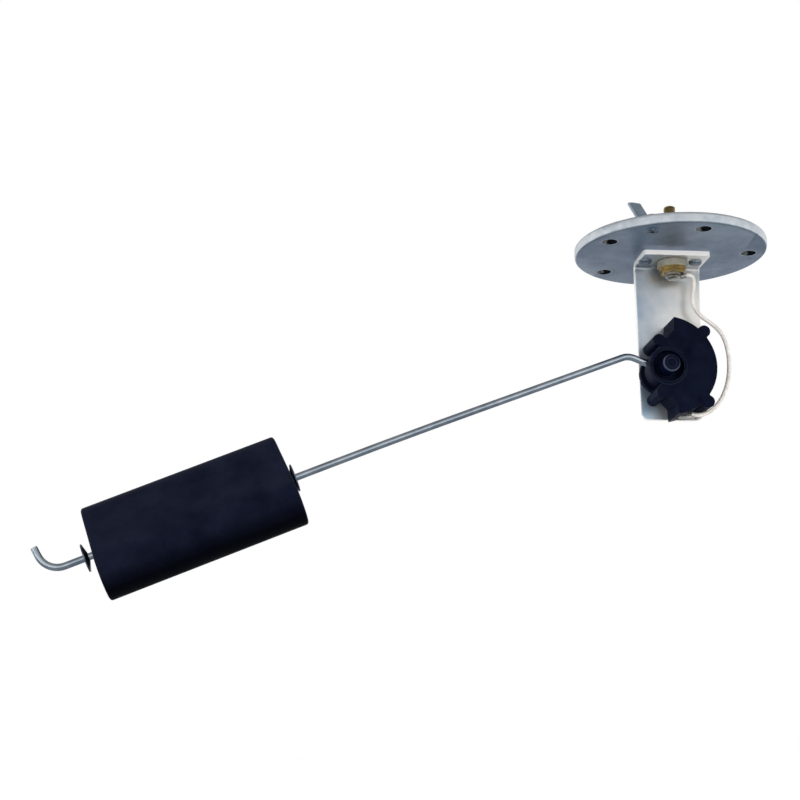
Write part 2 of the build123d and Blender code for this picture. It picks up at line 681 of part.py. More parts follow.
def signal_lead():
    """Insulated lead: straight runs and tangent arcs, soldered at both ends."""
    points = [Vector(*point) for point in LEAD_ROUTE]
    runs = [(after - before) for before, after in zip(points, points[1:])]
    radii = []
    for before, after in zip(runs, runs[1:]):
        turn = math.radians(before.get_angle(after))
        shorter = min(before.length, after.length)
        radii.append(0.45 * shorter / math.tan(turn / 2))
    path = FilletPolyline(*points, radius=radii)
    section = Plane(origin=points[0], z_dir=runs[0])
    lead = sweep(section * Circle(LEAD_RADIUS), path=path)
    print("lead radii", [round(radius, 1) for radius in radii])
    print("lead length", round(path.length, 1))
    print("lead volume", round(lead.volume, 2), "expected",
          round(path.length * math.pi * LEAD_RADIUS ** 2, 2))
    return lead


def all_nodes():
    nodes = {
        "mounting_flange": mounting_flange(),
        "bracket": bracket(),
        "bracket_rivets": bracket_rivets(),
        "earth_tab": earth_tab(),
        "earth_tab_rivet": tab_rivet(),
        "solder_eyelet": solder_eyelet(),
        "signal_lead": signal_lead(),
        "strip_solder": strip_solder(),
        "terminal_strip": terminal_strip(),
        "housing_base": housing_base(),
        "housing_cover": housing_cover(),
        "cover_screws": cover_screws(),
        "case_rivets": case_rivets(),
        "resistor_former": resistor_former(),
        "resistor_winding": resistor_winding(),
        "earth_spring_washer": earth_spring_washer(),
        "rotor": rotor(),
        "wiper_blade": wiper_blade(),
        "float_rod": float_rod(),
        "inner_retainer": retainer(FLOAT_START - INNER_RETAINER_GAP, -1),
        "outer_retainer": retainer(FLOAT_START + FLOAT_LENGTH + OUTER_RETAINER_GAP, 1),
        "float": float_body(),
    }
    nodes.update(stud_stack())
    return nodes


for name, shape in all_nodes().items():
    export_step(shape, f"parts/{name}.step")
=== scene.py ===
"""Fuel level sender: its finishes, rolled thread, resistance wire, solder and lead.

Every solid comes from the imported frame. This script gives each one its real finish and adds what is too
fine for the solids. Lengths are written in millimetres, and MM turns them into the scene's metres. Only
the lamps are in metres.
"""
import json
import math

import bmesh
import bpy
from mathutils import Matrix, Vector, noise


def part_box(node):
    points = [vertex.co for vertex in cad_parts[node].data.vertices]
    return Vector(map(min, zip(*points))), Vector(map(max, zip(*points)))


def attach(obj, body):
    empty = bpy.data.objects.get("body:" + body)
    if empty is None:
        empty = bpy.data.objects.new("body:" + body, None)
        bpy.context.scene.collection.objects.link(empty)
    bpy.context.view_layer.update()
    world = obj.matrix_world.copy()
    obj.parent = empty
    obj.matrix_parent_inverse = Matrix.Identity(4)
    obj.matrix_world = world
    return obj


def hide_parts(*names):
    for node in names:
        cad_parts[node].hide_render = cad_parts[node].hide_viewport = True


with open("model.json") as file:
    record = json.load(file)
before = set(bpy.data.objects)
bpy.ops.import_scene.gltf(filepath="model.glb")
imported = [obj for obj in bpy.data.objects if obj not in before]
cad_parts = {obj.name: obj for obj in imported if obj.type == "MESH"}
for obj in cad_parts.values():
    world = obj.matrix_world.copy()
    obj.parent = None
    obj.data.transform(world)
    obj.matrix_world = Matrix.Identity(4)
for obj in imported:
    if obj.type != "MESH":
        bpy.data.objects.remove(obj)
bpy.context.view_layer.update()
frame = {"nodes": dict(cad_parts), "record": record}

MM = 0.001

# Camera: where the photographer's lens was, which way it looked, and its right-hand side
CAMERA_PLACE = Vector((-138.4, -452.3, -163.5)) * MM
CAMERA_AIM = Vector((0.093, 0.967, 0.235))
CAMERA_RIGHT = Vector((0.995, -0.095, -0.005))
LENS = 63.0
SENSOR = 36.0

# Floor: its height and size, its glow to the lens, and the distances over which mirrors see it whiten
FLOOR_HEIGHT = -300 * MM
FLOOR_HALF_SIZE = 9000 * MM
FLOOR_GLOW = 0.6
FLOOR_WHITENS = (700 * MM, 1200 * MM)

# Surroundings: the sky's light, then what mirrors see of the room along Y and of the ceiling along Z, with
# the parts of a unit direction between which each one changes
SKY_LEVEL = 0.5
ROOM_LEVEL = 0.95
ROOM_SPAN = (-0.85, -0.15)
CEILING_LEVEL = 0.3
CEILING_SPAN = (0.2, 0.8)

# Lamps: name, place and size in metres, power in watts
LAMP_AIM = (-0.09, 0, -0.05)
LAMPS = (
    ("top_softbox", (-0.1, -0.1, 0.75), (1.0, 0.8), 8.0),
    ("left_softbox", (-0.8, -0.75, 0.0), (0.5, 0.9), 6.2),
    ("right_softbox", (0.6, -0.85, 0.05), (0.5, 0.9), 6.2),
)

# Patterns: the values of noise between which a finish goes from one look to another, sharply or softly,
# and how alike the normals round a point are, from a face to an edge
SHARP_PATCHES = (0.35, 0.65)
SOFT_PATCHES = (0.3, 0.7)
FACE_TO_EDGE = (0.995, 0.85)

# Flange: everything below its top is the disc. A face whose normal has less than this share along Z is
# upright: past the radius it is the turned rim, and within it a bolt hole's wall, painted in shade with a
# painted lit crescent and speckle on its left. The underside has painted light that grows toward the front,
# and the rim is a little more matt.
FLANGE_TOP = 3.8 * MM
FLANGE_UPRIGHT = 0.8
FLANGE_RIM_FROM = 30.5 * MM
FLANGE_RIM_MATT = 0.04
HOLE_PAINTED_LIGHT_FROM = 0.7
HOLE_SPECKLE = 1.6
FLANGE_PAINTED_LIGHT_SPAN = (-8 * MM, -30 * MM)

# Bracket: a face is square on to an axis when its normal has more than this share along it. The sheared
# edges, matt and bright with a painted highlight, are the faces square on to the sides, and past these
# heights those to the front and below. A painted reflection changes the plate's tint along these stretches
# of X and Z, and painted light brightens the low left, where the knob shades it, along the last two.
SQUARE_ON = 0.7
LEG_EDGE_ABOVE = -1.9 * MM
FOOT_EDGE_BELOW = -50 * MM
LEAF_ACROSS = (-12 * MM, 14 * MM)
LEAF_FOOT = (-48 * MM, -57 * MM)
LEAF_TOP = (-15 * MM, -8 * MM)
LEAF_CLOUDS = 1.3
PAINTED_LIGHT_ACROSS = (-2 * MM, -12 * MM)
PAINTED_LIGHT_DOWN = (-42 * MM, -52 * MM)

# Terminal stud, with the flat part of its thread's crest and root and the heights of its outdoor tarnish
STUD_X = 1.3
STUD_Y = 1.9
STUD_CREST = 2.08
STUD_THREAD_DEPTH = 0.38
STUD_PITCH = 0.79
STUD_TIP_ROUND = 0.9
STUD_ROWS_PER_TURN = 8
STUD_POINTS_AROUND = 41
THREAD_FLAT = 0.12
TARNISHED = (8 * MM, 14 * MM)

# Solder on the stud: the bead's rings as height and radius, and its lumps
BEAD_RINGS = ((-0.25, 0.5), (-0.2, 1.3), (0.0, 1.9), (0.25, 2.35), (0.5, 2.6))
BEAD_SIDES = 28
BEAD_LUMP = 0.25
BEAD_LUMPS_PER_MM = 1.1

# Rheostat: its pivot, the share along Y below which a face is a side wall, the painted highlight ring round
# the knob's front, and the curved resistor inside
PIVOT = Vector((-4.2, 0, -41.4))
HOUSING_WALL = 0.6
KNOB_RING_RADIUS = 2.75
KNOB_RING_HALF_WIDTH = 0.22
KNOB_RING_DEPTH = 0.7
TRACK_RADIUS = 12.5
TRACK_START = -57.0
TRACK_SWEEP = 105.0
TRACK_TURNS = 92
FORMER_THICKNESS = 1.2
FORMER_FRONT = 3.9
FORMER_BACK = 6.1
WIRE_RADIUS = 0.1
WIRE_SIDES = 6
WIRE_BEND = 0.15
WIRE_BEND_POINTS = 3

# Signal lead: the same route as in the solids
LEAD_DIAMETER = 1.44
LEAD_ROUTE = (
    (5.8, 1.9, -6.45),
    (7.1, 1.95, -6.05),
    (8.25, 2.0, -6.55),
    (8.85, 2.1, -7.8),
    (8.7, 2.2, -10.2),
    (7.9, 2.3, -14.2),
    (8.2, 2.4, -17.6),
    (10.3, 2.4, -20.9),
    (13.4, 2.4, -23.1),
    (16.2, 2.4, -25.3),
    (18.1, 2.3, -28.0),
    (19.2, 2.2, -31.8),
    (19.7, 2.1, -36.0),
    (19.5, 2.0, -40.5),
    (18.6, 1.9, -45.2),
    (16.8, 1.7, -49.6),
    (14.3, 1.5, -53.2),
    (11.2, 1.3, -55.8),
    (8.1, 1.1, -56.9),
    (4.9, 1.0, -56.65),
)

# Arm and float: the turn about Y that lays a pattern along the arm's lower run, the size of a pore, and the
# upward share of a normal over which the float's painted shade deepens from its sides to its under side
ALONG_ARM = (0, math.radians(21.9), 0)
FLOAT_PORE = 0.55
FLOAT_PAINTED_SHADE = (-0.15, -0.7)

# Solids: edges that bend less than this are shaded smooth, and points nearer than these are welded
SHARP_ANGLE = math.radians(32)
WELD_SOLIDS = 0.0005 * MM
WELD_THREAD = 0.002 * MM


def paint(hex_colour):
    """Linear colour from an sRGB hex value such as 7f8a93."""
    channels = [int(hex_colour[start:start + 2], 16) / 255 for start in (0, 2, 4)]
    linear = [c / 12.92 if c <= 0.04045 else ((c + 0.055) / 1.055) ** 2.4 for c in channels]
    return (*linear, 1.0)


def give(tree, socket, value):
    """Links a node or one of its outputs to a socket, or sets the socket's paint or plain value."""
    if isinstance(value, bpy.types.Node):
        value = next(output for output in value.outputs if output.enabled)
    if isinstance(value, bpy.types.NodeSocket):
        tree.links.new(value, socket)
    else:
        socket.default_value = paint(value) if isinstance(value, str) else value


def add(tree, kind, *values, sockets=None, **settings):
    """Adds a node with its settings. Values go to its shown sockets in order, and sockets go by name."""
    made = tree.nodes.new(kind)
    for name, value in settings.items():
        setattr(made, name, value)
    shown = [socket for socket in made.inputs if socket.enabled]
    for socket, value in zip(shown, values):
        give(tree, socket, value)
    for name, value in (sockets or {}).items():
        give(tree, made.inputs[name], value)
    return made


def feed(tree, node, **sockets):
    """Gives a node's sockets their links or values; in a name, _ stands for a space."""
    for name, value in sockets.items():
        give(tree, node.inputs[name.replace("_", " ")], value)


def finish_named(name, **surface):
    """A material whose shader has these plain values, with its tree and object coordinates."""
    material = bpy.data.materials.new(name)
    material.use_nodes = True
    tree = material.node_tree
    shader = tree.nodes["Principled BSDF"]
    feed(tree, shader, **surface)
    return material, tree, shader, add(tree, "ShaderNodeTexCoord").outputs["Object"]


def cloudy(tree, where, size_mm, detail=4.0, stretch=(1, 1, 1), turn=(0, 0, 0)):
    """Noise with patches of a given size, stretched along the axes of a turned frame."""
    laid = add(
        tree, "ShaderNodeMapping", sockets={"Vector": where, "Scale": stretch, "Rotation": turn},
    )
    return add(
        tree, "ShaderNodeTexNoise",
        sockets={"Vector": laid, "Scale": 1 / (size_mm * MM), "Detail": detail, "Roughness": 0.6},
    )


def tint(tree, pattern, first, second, span=SHARP_PATCHES):
    """A colour that goes from one to another as a pattern goes through a span of values."""
    share = add(tree, "ShaderNodeMapRange", pattern, *span)
    return add(tree, "ShaderNodeMix", share, first, second, data_type="RGBA")


def own_normal(tree):
    """The three parts of the surface's normal, in the solid's own frame."""
    return add(tree, "ShaderNodeSeparateXYZ", add(tree, "ShaderNodeTexCoord").outputs["Normal"]).outputs


def painted_highlight_edges(tree, reach_mm):
    """1 along a solid's edges and 0 on its faces, from the normals a short way round each point. It marks
    where the finishes paint edge highlights.
    """
    rounded = add(tree, "ShaderNodeBevel", reach_mm * MM, samples=6)
    own = add(tree, "ShaderNodeNewGeometry").outputs["Normal"]
    alike = add(tree, "ShaderNodeVectorMath", rounded, own, operation="DOT_PRODUCT")
    return add(tree, "ShaderNodeMapRange", alike, *FACE_TO_EDGE)


def relief(tree, shader, pattern, depth_mm, strength=1.0):
    """Surface relief of a real depth, added to any that the shader already has."""
    bump = add(
        tree, "ShaderNodeBump",
        sockets={"Strength": strength, "Distance": depth_mm * MM, "Height": pattern},
    )
    earlier = shader.inputs["Normal"].links
    if earlier:
        feed(tree, bump, Normal=earlier[0].from_socket)
    feed(tree, shader, Normal=bump)


def dull_zinc():
    """Zinc plate on a tumbled steel disc: grey-blue and half matt with a grain, so that the bracket just
    mirrors in it. Its turned rim is brighter, its edges get a painted highlight, each hole's wall is
    painted in shade with a painted lit crescent on its left, and the underside is painted lighter toward
    the front. The grain is drawn coarser than the real one, to show."""
    material, tree, shader, where = finish_named("dull_zinc_plate", Metallic=0.9)
    place = add(tree, "ShaderNodeSeparateXYZ", where).outputs
    normal = own_normal(tree)
    on_disc = add(tree, "ShaderNodeMath", place["Z"], FLANGE_TOP, operation="LESS_THAN")
    levelness = add(tree, "ShaderNodeMath", normal["Z"], operation="ABSOLUTE")
    upright = add(tree, "ShaderNodeMath", levelness, FLANGE_UPRIGHT, operation="LESS_THAN")
    on_wall = add(tree, "ShaderNodeMath", upright, on_disc, operation="MULTIPLY")
    from_middle = add(tree, "ShaderNodeCombineXYZ", place["X"], place["Y"])
    radius = add(tree, "ShaderNodeVectorMath", from_middle, operation="LENGTH")
    outside = add(tree, "ShaderNodeMath", radius, FLANGE_RIM_FROM, operation="GREATER_THAN")
    rim = add(tree, "ShaderNodeMath", on_wall, outside, operation="MULTIPLY")
    hole = add(tree, "ShaderNodeMath", on_wall, rim, operation="SUBTRACT")
    clouds = cloudy(tree, where, 9.0)
    grain = cloudy(tree, where, 0.7, 2.0)
    speckle = cloudy(tree, where, 1.6, 2.0)
    # Painted light: the underside is painted lighter toward the front.
    frontward = add(tree, "ShaderNodeMapRange", place["Y"], *FLANGE_PAINTED_LIGHT_SPAN, 0.0, 0.5)
    clouds_and_painted_light = add(tree, "ShaderNodeMath", clouds, frontward, operation="ADD")
    disc_skin = tint(tree, clouds_and_painted_light, "506480", "8d9db1", (0.3, 1.0))
    tab_skin = tint(tree, clouds, "6a7d91", "96a9bb", SOFT_PATCHES)
    skin = add(tree, "ShaderNodeMix", on_disc, tab_skin, disc_skin, data_type="RGBA")
    # Painted highlight along the edges.
    worn = add(tree, "ShaderNodeMix", painted_highlight_edges(tree, 0.9), skin, "b4bec8", data_type="RGBA")
    turned = tint(tree, cloudy(tree, where, 5.0), "b0bac3", "d7dce1", SOFT_PATCHES)
    rimmed = add(tree, "ShaderNodeMix", rim, worn, turned, data_type="RGBA")
    # Painted shade in each bolt hole's wall, with a painted lit crescent and speckle on its left.
    painted_lit_side = add(tree, "ShaderNodeMath", normal["X"], HOLE_PAINTED_LIGHT_FROM, operation="SUBTRACT")
    painted_lit_wall = add(tree, "ShaderNodeMath", speckle, HOLE_SPECKLE, painted_lit_side, operation="MULTIPLY_ADD")
    hole_painted_shade_and_light = tint(tree, painted_lit_wall, "15191e", "f6f8fa", (0.0, 0.5))
    matt = add(tree, "ShaderNodeMapRange", grain, *SHARP_PATCHES, 0.3, 0.4)
    feed(
        tree, shader, Base_Color=add(tree, "ShaderNodeMix", hole, rimmed, hole_painted_shade_and_light, data_type="RGBA"),
        Roughness=add(tree, "ShaderNodeMath", rim, FLANGE_RIM_MATT, matt, operation="MULTIPLY_ADD"),
    )
    relief(tree, shader, grain, 0.05, 0.6)
    relief(tree, shader, cloudy(tree, where, 3.5, 2.0), 0.08, 0.5)
    return material


def bright_sheet():
    """Bright zinc on rolled sheet: a soft mirror, a little wavy. A painted reflection makes it bluer on the
    left and white on the right, painted light brightens the low left that the knob shades, and its edges
    get a painted highlight; the sheared edges are matt and bright, and painted whiter still as a highlight."""
    material, tree, shader, where = finish_named("bright_zinc_sheet")
    place = add(tree, "ShaderNodeSeparateXYZ", where).outputs
    normal = own_normal(tree)
    # Sheared edges: matt and bright, and painted whiter as a highlight.
    sideways = add(tree, "ShaderNodeMath", normal["X"], operation="ABSOLUTE")
    side_cut = add(tree, "ShaderNodeMath", sideways, SQUARE_ON, operation="GREATER_THAN")
    frontward = add(tree, "ShaderNodeMath", normal["Y"], -SQUARE_ON, operation="LESS_THAN")
    on_leg = add(tree, "ShaderNodeMath", place["Z"], LEG_EDGE_ABOVE, operation="GREATER_THAN")
    leg_cut = add(tree, "ShaderNodeMath", frontward, on_leg, operation="MULTIPLY")
    downward = add(tree, "ShaderNodeMath", normal["Z"], -SQUARE_ON, operation="LESS_THAN")
    on_foot = add(tree, "ShaderNodeMath", place["Z"], FOOT_EDGE_BELOW, operation="LESS_THAN")
    foot_cut = add(tree, "ShaderNodeMath", downward, on_foot, operation="MULTIPLY")
    either_cut = add(tree, "ShaderNodeMath", side_cut, leg_cut, operation="MAXIMUM")
    cut = add(tree, "ShaderNodeMath", either_cut, foot_cut, operation="MAXIMUM")
    # Painted highlight along every edge, which also makes it less metallic.
    painted_edge_highlight = painted_highlight_edges(tree, 0.8)
    # Painted reflection: bluer toward the left and the foot, whiter toward the right and the top.
    across = add(tree, "ShaderNodeMapRange", place["X"], *LEAF_ACROSS)
    low_down = add(tree, "ShaderNodeMapRange", place["Z"], *LEAF_FOOT, -0.65, -0.3)
    high_up = add(tree, "ShaderNodeMapRange", place["Z"], *LEAF_TOP, 0.0, 0.22)
    by_height = add(tree, "ShaderNodeMath", low_down, high_up, operation="ADD")
    painted_reflection_by_place = add(tree, "ShaderNodeMath", across, by_height, operation="ADD")
    clouds = cloudy(tree, where, 16.0, 3.0)
    patchy = add(tree, "ShaderNodeMath", clouds, LEAF_CLOUDS, painted_reflection_by_place, operation="MULTIPLY_ADD")
    plate = tint(tree, patchy, "96a8ba", "e9e8e4", (0.05, 0.95))
    # Painted light low on the left, where the knob shades the leaf.
    to_left = add(tree, "ShaderNodeMapRange", place["X"], *PAINTED_LIGHT_ACROSS)
    to_foot = add(tree, "ShaderNodeMapRange", place["Z"], *PAINTED_LIGHT_DOWN)
    painted_light_low_left = add(tree, "ShaderNodeMath", to_left, to_foot, operation="MULTIPLY")
    plate_with_painted_light = add(tree, "ShaderNodeMix", painted_light_low_left, plate, "bcd8f0", data_type="RGBA")
    sheared = add(tree, "ShaderNodeMix", cut, plate_with_painted_light, "fbf9f3", data_type="RGBA")
    scattering = add(tree, "ShaderNodeMath", cut, painted_edge_highlight, operation="MAXIMUM")
    rolled = cloudy(tree, where, 1.2, 2.0, stretch=(1, 1, 0.03))
    feed(
        tree, shader, Base_Color=add(tree, "ShaderNodeMix", painted_edge_highlight, sheared, "ffffff", data_type="RGBA"),
        Roughness=add(tree, "ShaderNodeMapRange", rolled, *SHARP_PATCHES, 0.285, 0.33),
        Metallic=add(tree, "ShaderNodeMapRange", scattering, 0.0, 1.0, 0.9, 0.2),
    )
    relief(tree, shader, cloudy(tree, where, 14.0, 1.0), 0.25, 0.6)
    return material


def rivet_steel():
    """Plated rivet, upset cold: satin with tiny dents."""
    material, tree, shader, where = finish_named("plated_rivet", Metallic=1.0, Roughness=0.38)
    dents = cloudy(tree, where, 1.1, 2.0)
    feed(tree, shader, Base_Color=tint(tree, dents, "667282", "98a3b0"))
    relief(tree, shader, dents, 0.06, 0.6)
    return material


def turned_brass():
    """Turned brass with a painted highlight along its edges, and a brown tarnish that is deepest out of
    doors.
    Its turning rings are drawn coarser than real ones, to show."""
    material, tree, shader, where = finish_named("turned_brass", Metallic=1.0)
    tarnish = cloudy(tree, where, 5.0, 2.0)
    height = add(tree, "ShaderNodeSeparateXYZ", where).outputs["Z"]
    outdoors = add(tree, "ShaderNodeMapRange", height, *TARNISHED, 0.0, 0.75)
    skin = tint(tree, tarnish, "8a7446", "d4b06c", SOFT_PATCHES)
    # Painted highlight along the edges.
    rubbed = add(tree, "ShaderNodeMix", painted_highlight_edges(tree, 0.4), skin, "ffe6a0", data_type="RGBA")
    feed(
        tree, shader, Base_Color=add(tree, "ShaderNodeMix", outdoors, rubbed, "6a5f42", data_type="RGBA"),
        Roughness=add(tree, "ShaderNodeMapRange", tarnish, *SHARP_PATCHES, 0.45, 0.26),
    )
    rings = cloudy(tree, where, 0.3, 2.0, stretch=(0.05, 0.05, 1))
    relief(tree, shader, rings, 0.004, 0.5)
    return material


def natural_nylon():
    """Uncoloured moulded nylon: milky, light passes a little way in; its cream is painted darker, as shade.
    """
    material, tree, shader, where = finish_named(
        "natural_nylon", Roughness=0.42, IOR=1.53, Subsurface_Weight=0.35, Subsurface_Scale=1.5 * MM,
    )
    # Painted shade: the nylon's cream is painted darker.
    feed(tree, shader, Base_Color=tint(tree, cloudy(tree, where, 3.0), "7b7a6e", "959387"))
    relief(tree, shader, cloudy(tree, where, 0.4, 2.0), 0.01, 0.4)
    return material


def hot_tin():
    """Hot-tinned copper: soft grey, slightly wavy from the dip."""
    material, tree, shader, where = finish_named("hot_tin", Metallic=1.0, Roughness=0.34)
    waves = cloudy(tree, where, 1.5, 2.0)
    feed(tree, shader, Base_Color=tint(tree, waves, "9b9c98", "c3c3bd"))
    relief(tree, shader, waves, 0.05, 0.6)
    return material


def soft_solder():
    """Reflowed solder: bright grey with a frosty grain where it froze, drawn coarser than real, to show."""
    material, tree, shader, where = finish_named("soft_solder", Metallic=1.0)
    frost = cloudy(tree, where, 0.6, 3.0)
    feed(
        tree, shader, Base_Color=tint(tree, frost, "a9a8a4", "cfcdc8"),
        Roughness=add(tree, "ShaderNodeMapRange", frost, *SHARP_PATCHES, 0.16, 0.34),
    )
    relief(tree, shader, frost, 0.02, 0.6)
    relief(tree, shader, cloudy(tree, where, 1.6, 1.0), 0.3, 0.8)
    return material


def lead_skin():
    """Soft off-white insulation, slightly waxy, with faint handling marks."""
    material, tree, shader, where = finish_named(
        "off_white_insulation", Roughness=0.45, IOR=1.5, Subsurface_Weight=0.15, Subsurface_Scale=0.8 * MM,
    )
    feed(tree, shader, Base_Color=tint(tree, cloudy(tree, where, 2.2), "cbc6bf", "ddd9d3"))
    relief(tree, shader, cloudy(tree, where, 0.5, 2.0), 0.01, 0.5)
    return material


def black_acetal():
    """Moulded black acetal: spark-eroded grain and rubbed patches. Painted bluish light tints its colour
    and reflections, bluest on its side walls, and a painted highlight greys its edges, most of all round
    the knob's front. The grain is drawn coarser than the real one, to show."""
    # Painted light: the blue specular tint stands for bluish light in the reflections.
    material, tree, shader, where = finish_named(
        "black_acetal", IOR=1.08, Specular_Tint=(0.5, 0.68, 1.0, 1.0),
    )
    place = add(tree, "ShaderNodeSeparateXYZ", where).outputs
    flattened = add(tree, "ShaderNodeCombineXYZ", place["X"], 0.0, place["Z"])
    from_axis = add(tree, "ShaderNodeVectorMath", flattened, PIVOT * MM, operation="DISTANCE")
    # Painted highlight: a patchy ring round the knob's front.
    on_ring = add(
        tree, "ShaderNodeMath", from_axis, KNOB_RING_RADIUS * MM, KNOB_RING_HALF_WIDTH * MM,
        operation="COMPARE",
    )
    ring_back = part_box("rotor")[0].y + KNOB_RING_DEPTH * MM
    in_front = add(tree, "ShaderNodeMath", place["Y"], ring_back, operation="LESS_THAN")
    painted_highlight_ring = add(tree, "ShaderNodeMath", on_ring, in_front, operation="MULTIPLY")
    rubbed = cloudy(tree, where, 5.0)
    front_or_back = add(tree, "ShaderNodeMath", own_normal(tree)["Y"], operation="ABSOLUTE")
    wall = add(tree, "ShaderNodeMath", front_or_back, HOUSING_WALL, operation="LESS_THAN")
    # Painted light: a bluish cast on the faces, bluer on the side walls.
    face_skin = tint(tree, rubbed, "060815", "0f1322", SOFT_PATCHES)
    wall_skin_painted_bluer = tint(tree, rubbed, "04081c", "091027", SOFT_PATCHES)
    skin = add(tree, "ShaderNodeMix", wall, face_skin, wall_skin_painted_bluer, data_type="RGBA")
    # Painted highlight along the edges.
    skin_with_painted_edges = add(tree, "ShaderNodeMix", painted_highlight_edges(tree, 0.3), skin, "2b3040", data_type="RGBA")
    patches = add(tree, "ShaderNodeMapRange", rubbed, 0.4, 0.6, 0.1, 1.0)
    painted_knob_highlight = add(tree, "ShaderNodeMath", painted_highlight_ring, patches, operation="MULTIPLY")
    feed(
        tree, shader, Base_Color=add(tree, "ShaderNodeMix", painted_knob_highlight, skin_with_painted_edges, "3e4250", data_type="RGBA"),
        Roughness=add(tree, "ShaderNodeMapRange", rubbed, *SHARP_PATCHES, 0.36, 0.5),
    )
    relief(tree, shader, cloudy(tree, where, 0.35, 2.0), 0.02, 0.5)
    relief(tree, shader, cloudy(tree, where, 6.0, 1.0), 0.06, 0.4)
    return material


def former_board():
    """Phenolic board: brown, with the weave of its paper layers."""
    material, tree, shader, where = finish_named("phenolic_board", Roughness=0.5, IOR=1.6)
    layers = cloudy(tree, where, 0.8, 3.0, stretch=(1, 4, 1))
    feed(tree, shader, Base_Color=tint(tree, layers, "5a3a20", "7c5430"))
    relief(tree, shader, layers, 0.02, 0.5)
    return material


def resistance_wire():
    """Drawn nickel-chrome wire: bright, and a faintly warm grey."""
    material, tree, shader, where = finish_named("nickel_chrome_wire", Metallic=1.0, Roughness=0.25)
    feed(tree, shader, Base_Color=tint(tree, cloudy(tree, where, 0.8), "b5aca0", "d2cbc0"))
    return material


def spring_metal():
    """Hardened and plated spring steel, darker than the wire."""
    material, tree, shader, where = finish_named("spring_steel", Metallic=1.0, Roughness=0.36)
    feed(tree, shader, Base_Color=tint(tree, cloudy(tree, where, 2.0), "465062", "7c8899"))
    relief(tree, shader, cloudy(tree, where, 0.6, 2.0), 0.01, 0.4)
    return material


def drawn_wire():
    """Drawn and plated steel wire: a clear mirror with fine lines along it from the die, drawn coarser
    than real ones, to show."""
    material, tree, shader, where = finish_named("drawn_wire", Metallic=1.0)
    lines = cloudy(tree, where, 0.4, 3.0, stretch=(0.02, 1, 1), turn=ALONG_ARM)
    feed(
        tree, shader, Base_Color=tint(tree, cloudy(tree, where, 7.0), "98a4b1", "c0c9d2"),
        Roughness=add(tree, "ShaderNodeMapRange", lines, *SHARP_PATCHES, 0.12, 0.19),
    )
    relief(tree, shader, lines, 0.003, 0.4)
    return material


def foam_skin():
    """Closed-cell nitrile foam, cut and sealed: satin black skin, tinted blue in colour and reflections as
    painted bluish light, with faint pores and cut lines, and painted shade on its under side. The pores are
    drawn coarser than real ones, to show."""
    # Painted light: the blue specular tint and bluish skin stand for bluish light.
    material, tree, shader, where = finish_named(
        "nitrile_foam_skin", IOR=1.14, Specular_Tint=(0.5, 0.68, 1.0, 1.0),
    )
    patches = cloudy(tree, where, 12.0)
    skin = tint(tree, patches, "070916", "0f1220")
    # Painted shade, deepening toward the under side.
    underside = add(tree, "ShaderNodeMapRange", own_normal(tree)["Z"], *FLOAT_PAINTED_SHADE)
    feed(
        tree, shader, Base_Color=add(tree, "ShaderNodeMix", underside, skin, "010206", data_type="RGBA"),
        Roughness=add(tree, "ShaderNodeMapRange", patches, *SHARP_PATCHES, 0.44, 0.56),
    )
    pores = add(tree, "ShaderNodeTexVoronoi", where, 1 / (FLOAT_PORE * MM))
    relief(tree, shader, pores, 0.03, 0.5)
    relief(tree, shader, cloudy(tree, where, 1.4, 3.0, stretch=(0.08, 1, 1), turn=ALONG_ARM), 0.05, 0.5)
    return material


def shading_tree():
    """Geometry Nodes: joins a solid's loose triangles and shades its round stretches smooth."""
    tree = bpy.data.node_groups.new("smooth_round_faces", "GeometryNodeTree")
    tree.interface.new_socket("Geometry", in_out="INPUT", socket_type="NodeSocketGeometry")
    angle = tree.interface.new_socket("Sharp Angle", in_out="INPUT", socket_type="NodeSocketFloat")
    angle.default_value = SHARP_ANGLE
    tree.interface.new_socket("Geometry", in_out="OUTPUT", socket_type="NodeSocketGeometry")
    given = add(tree, "NodeGroupInput").outputs
    merged = add(
        tree, "GeometryNodeMergeByDistance",
        sockets={"Geometry": given["Geometry"], "Distance": WELD_SOLIDS},
    )
    bend = add(tree, "GeometryNodeInputMeshEdgeAngle").outputs["Unsigned Angle"]
    soft = add(
        tree, "FunctionNodeCompare", bend, given["Sharp Angle"], data_type="FLOAT", operation="LESS_THAN",
    )
    faces = add(tree, "GeometryNodeSetShadeSmooth", merged)
    edges = add(
        tree, "GeometryNodeSetShadeSmooth", sockets={"Geometry": faces, "Shade Smooth": soft},
        domain="EDGE",
    )
    add(tree, "NodeGroupOutput", edges)
    return tree


def maker_tree(name, sizes, counts):
    """A Geometry Nodes tree that makes a mesh from named sizes, counts and a material, and its inputs."""
    tree = bpy.data.node_groups.new(name, "GeometryNodeTree")
    inputs = [(size, "Float") for size in sizes] + [(count, "Int") for count in counts]
    for label, kind in inputs + [("Material", "Material")]:
        tree.interface.new_socket(label, in_out="INPUT", socket_type="NodeSocket" + kind)
    tree.interface.new_socket("Geometry", in_out="OUTPUT", socket_type="NodeSocketGeometry")
    return tree, add(tree, "NodeGroupInput").outputs


def put_out(tree, geometry, material):
    """Ends a maker tree: one real mesh, shaded smooth, with its material."""
    smooth = add(tree, "GeometryNodeSetShadeSmooth", geometry)
    real = add(tree, "GeometryNodeRealizeInstances", smooth)
    dressed = add(tree, "GeometryNodeSetMaterial", sockets={"Geometry": real, "Material": material})
    add(tree, "NodeGroupOutput", dressed)


def on_circle(tree, radius, angle, height=0.0):
    """A point at a radius, an angle and a height."""
    cosine = add(tree, "ShaderNodeMath", angle, operation="COSINE")
    sine = add(tree, "ShaderNodeMath", angle, operation="SINE")
    x = add(tree, "ShaderNodeMath", radius, cosine, operation="MULTIPLY")
    y = add(tree, "ShaderNodeMath", radius, sine, operation="MULTIPLY")
    return add(tree, "ShaderNodeCombineXYZ", x, y, height)


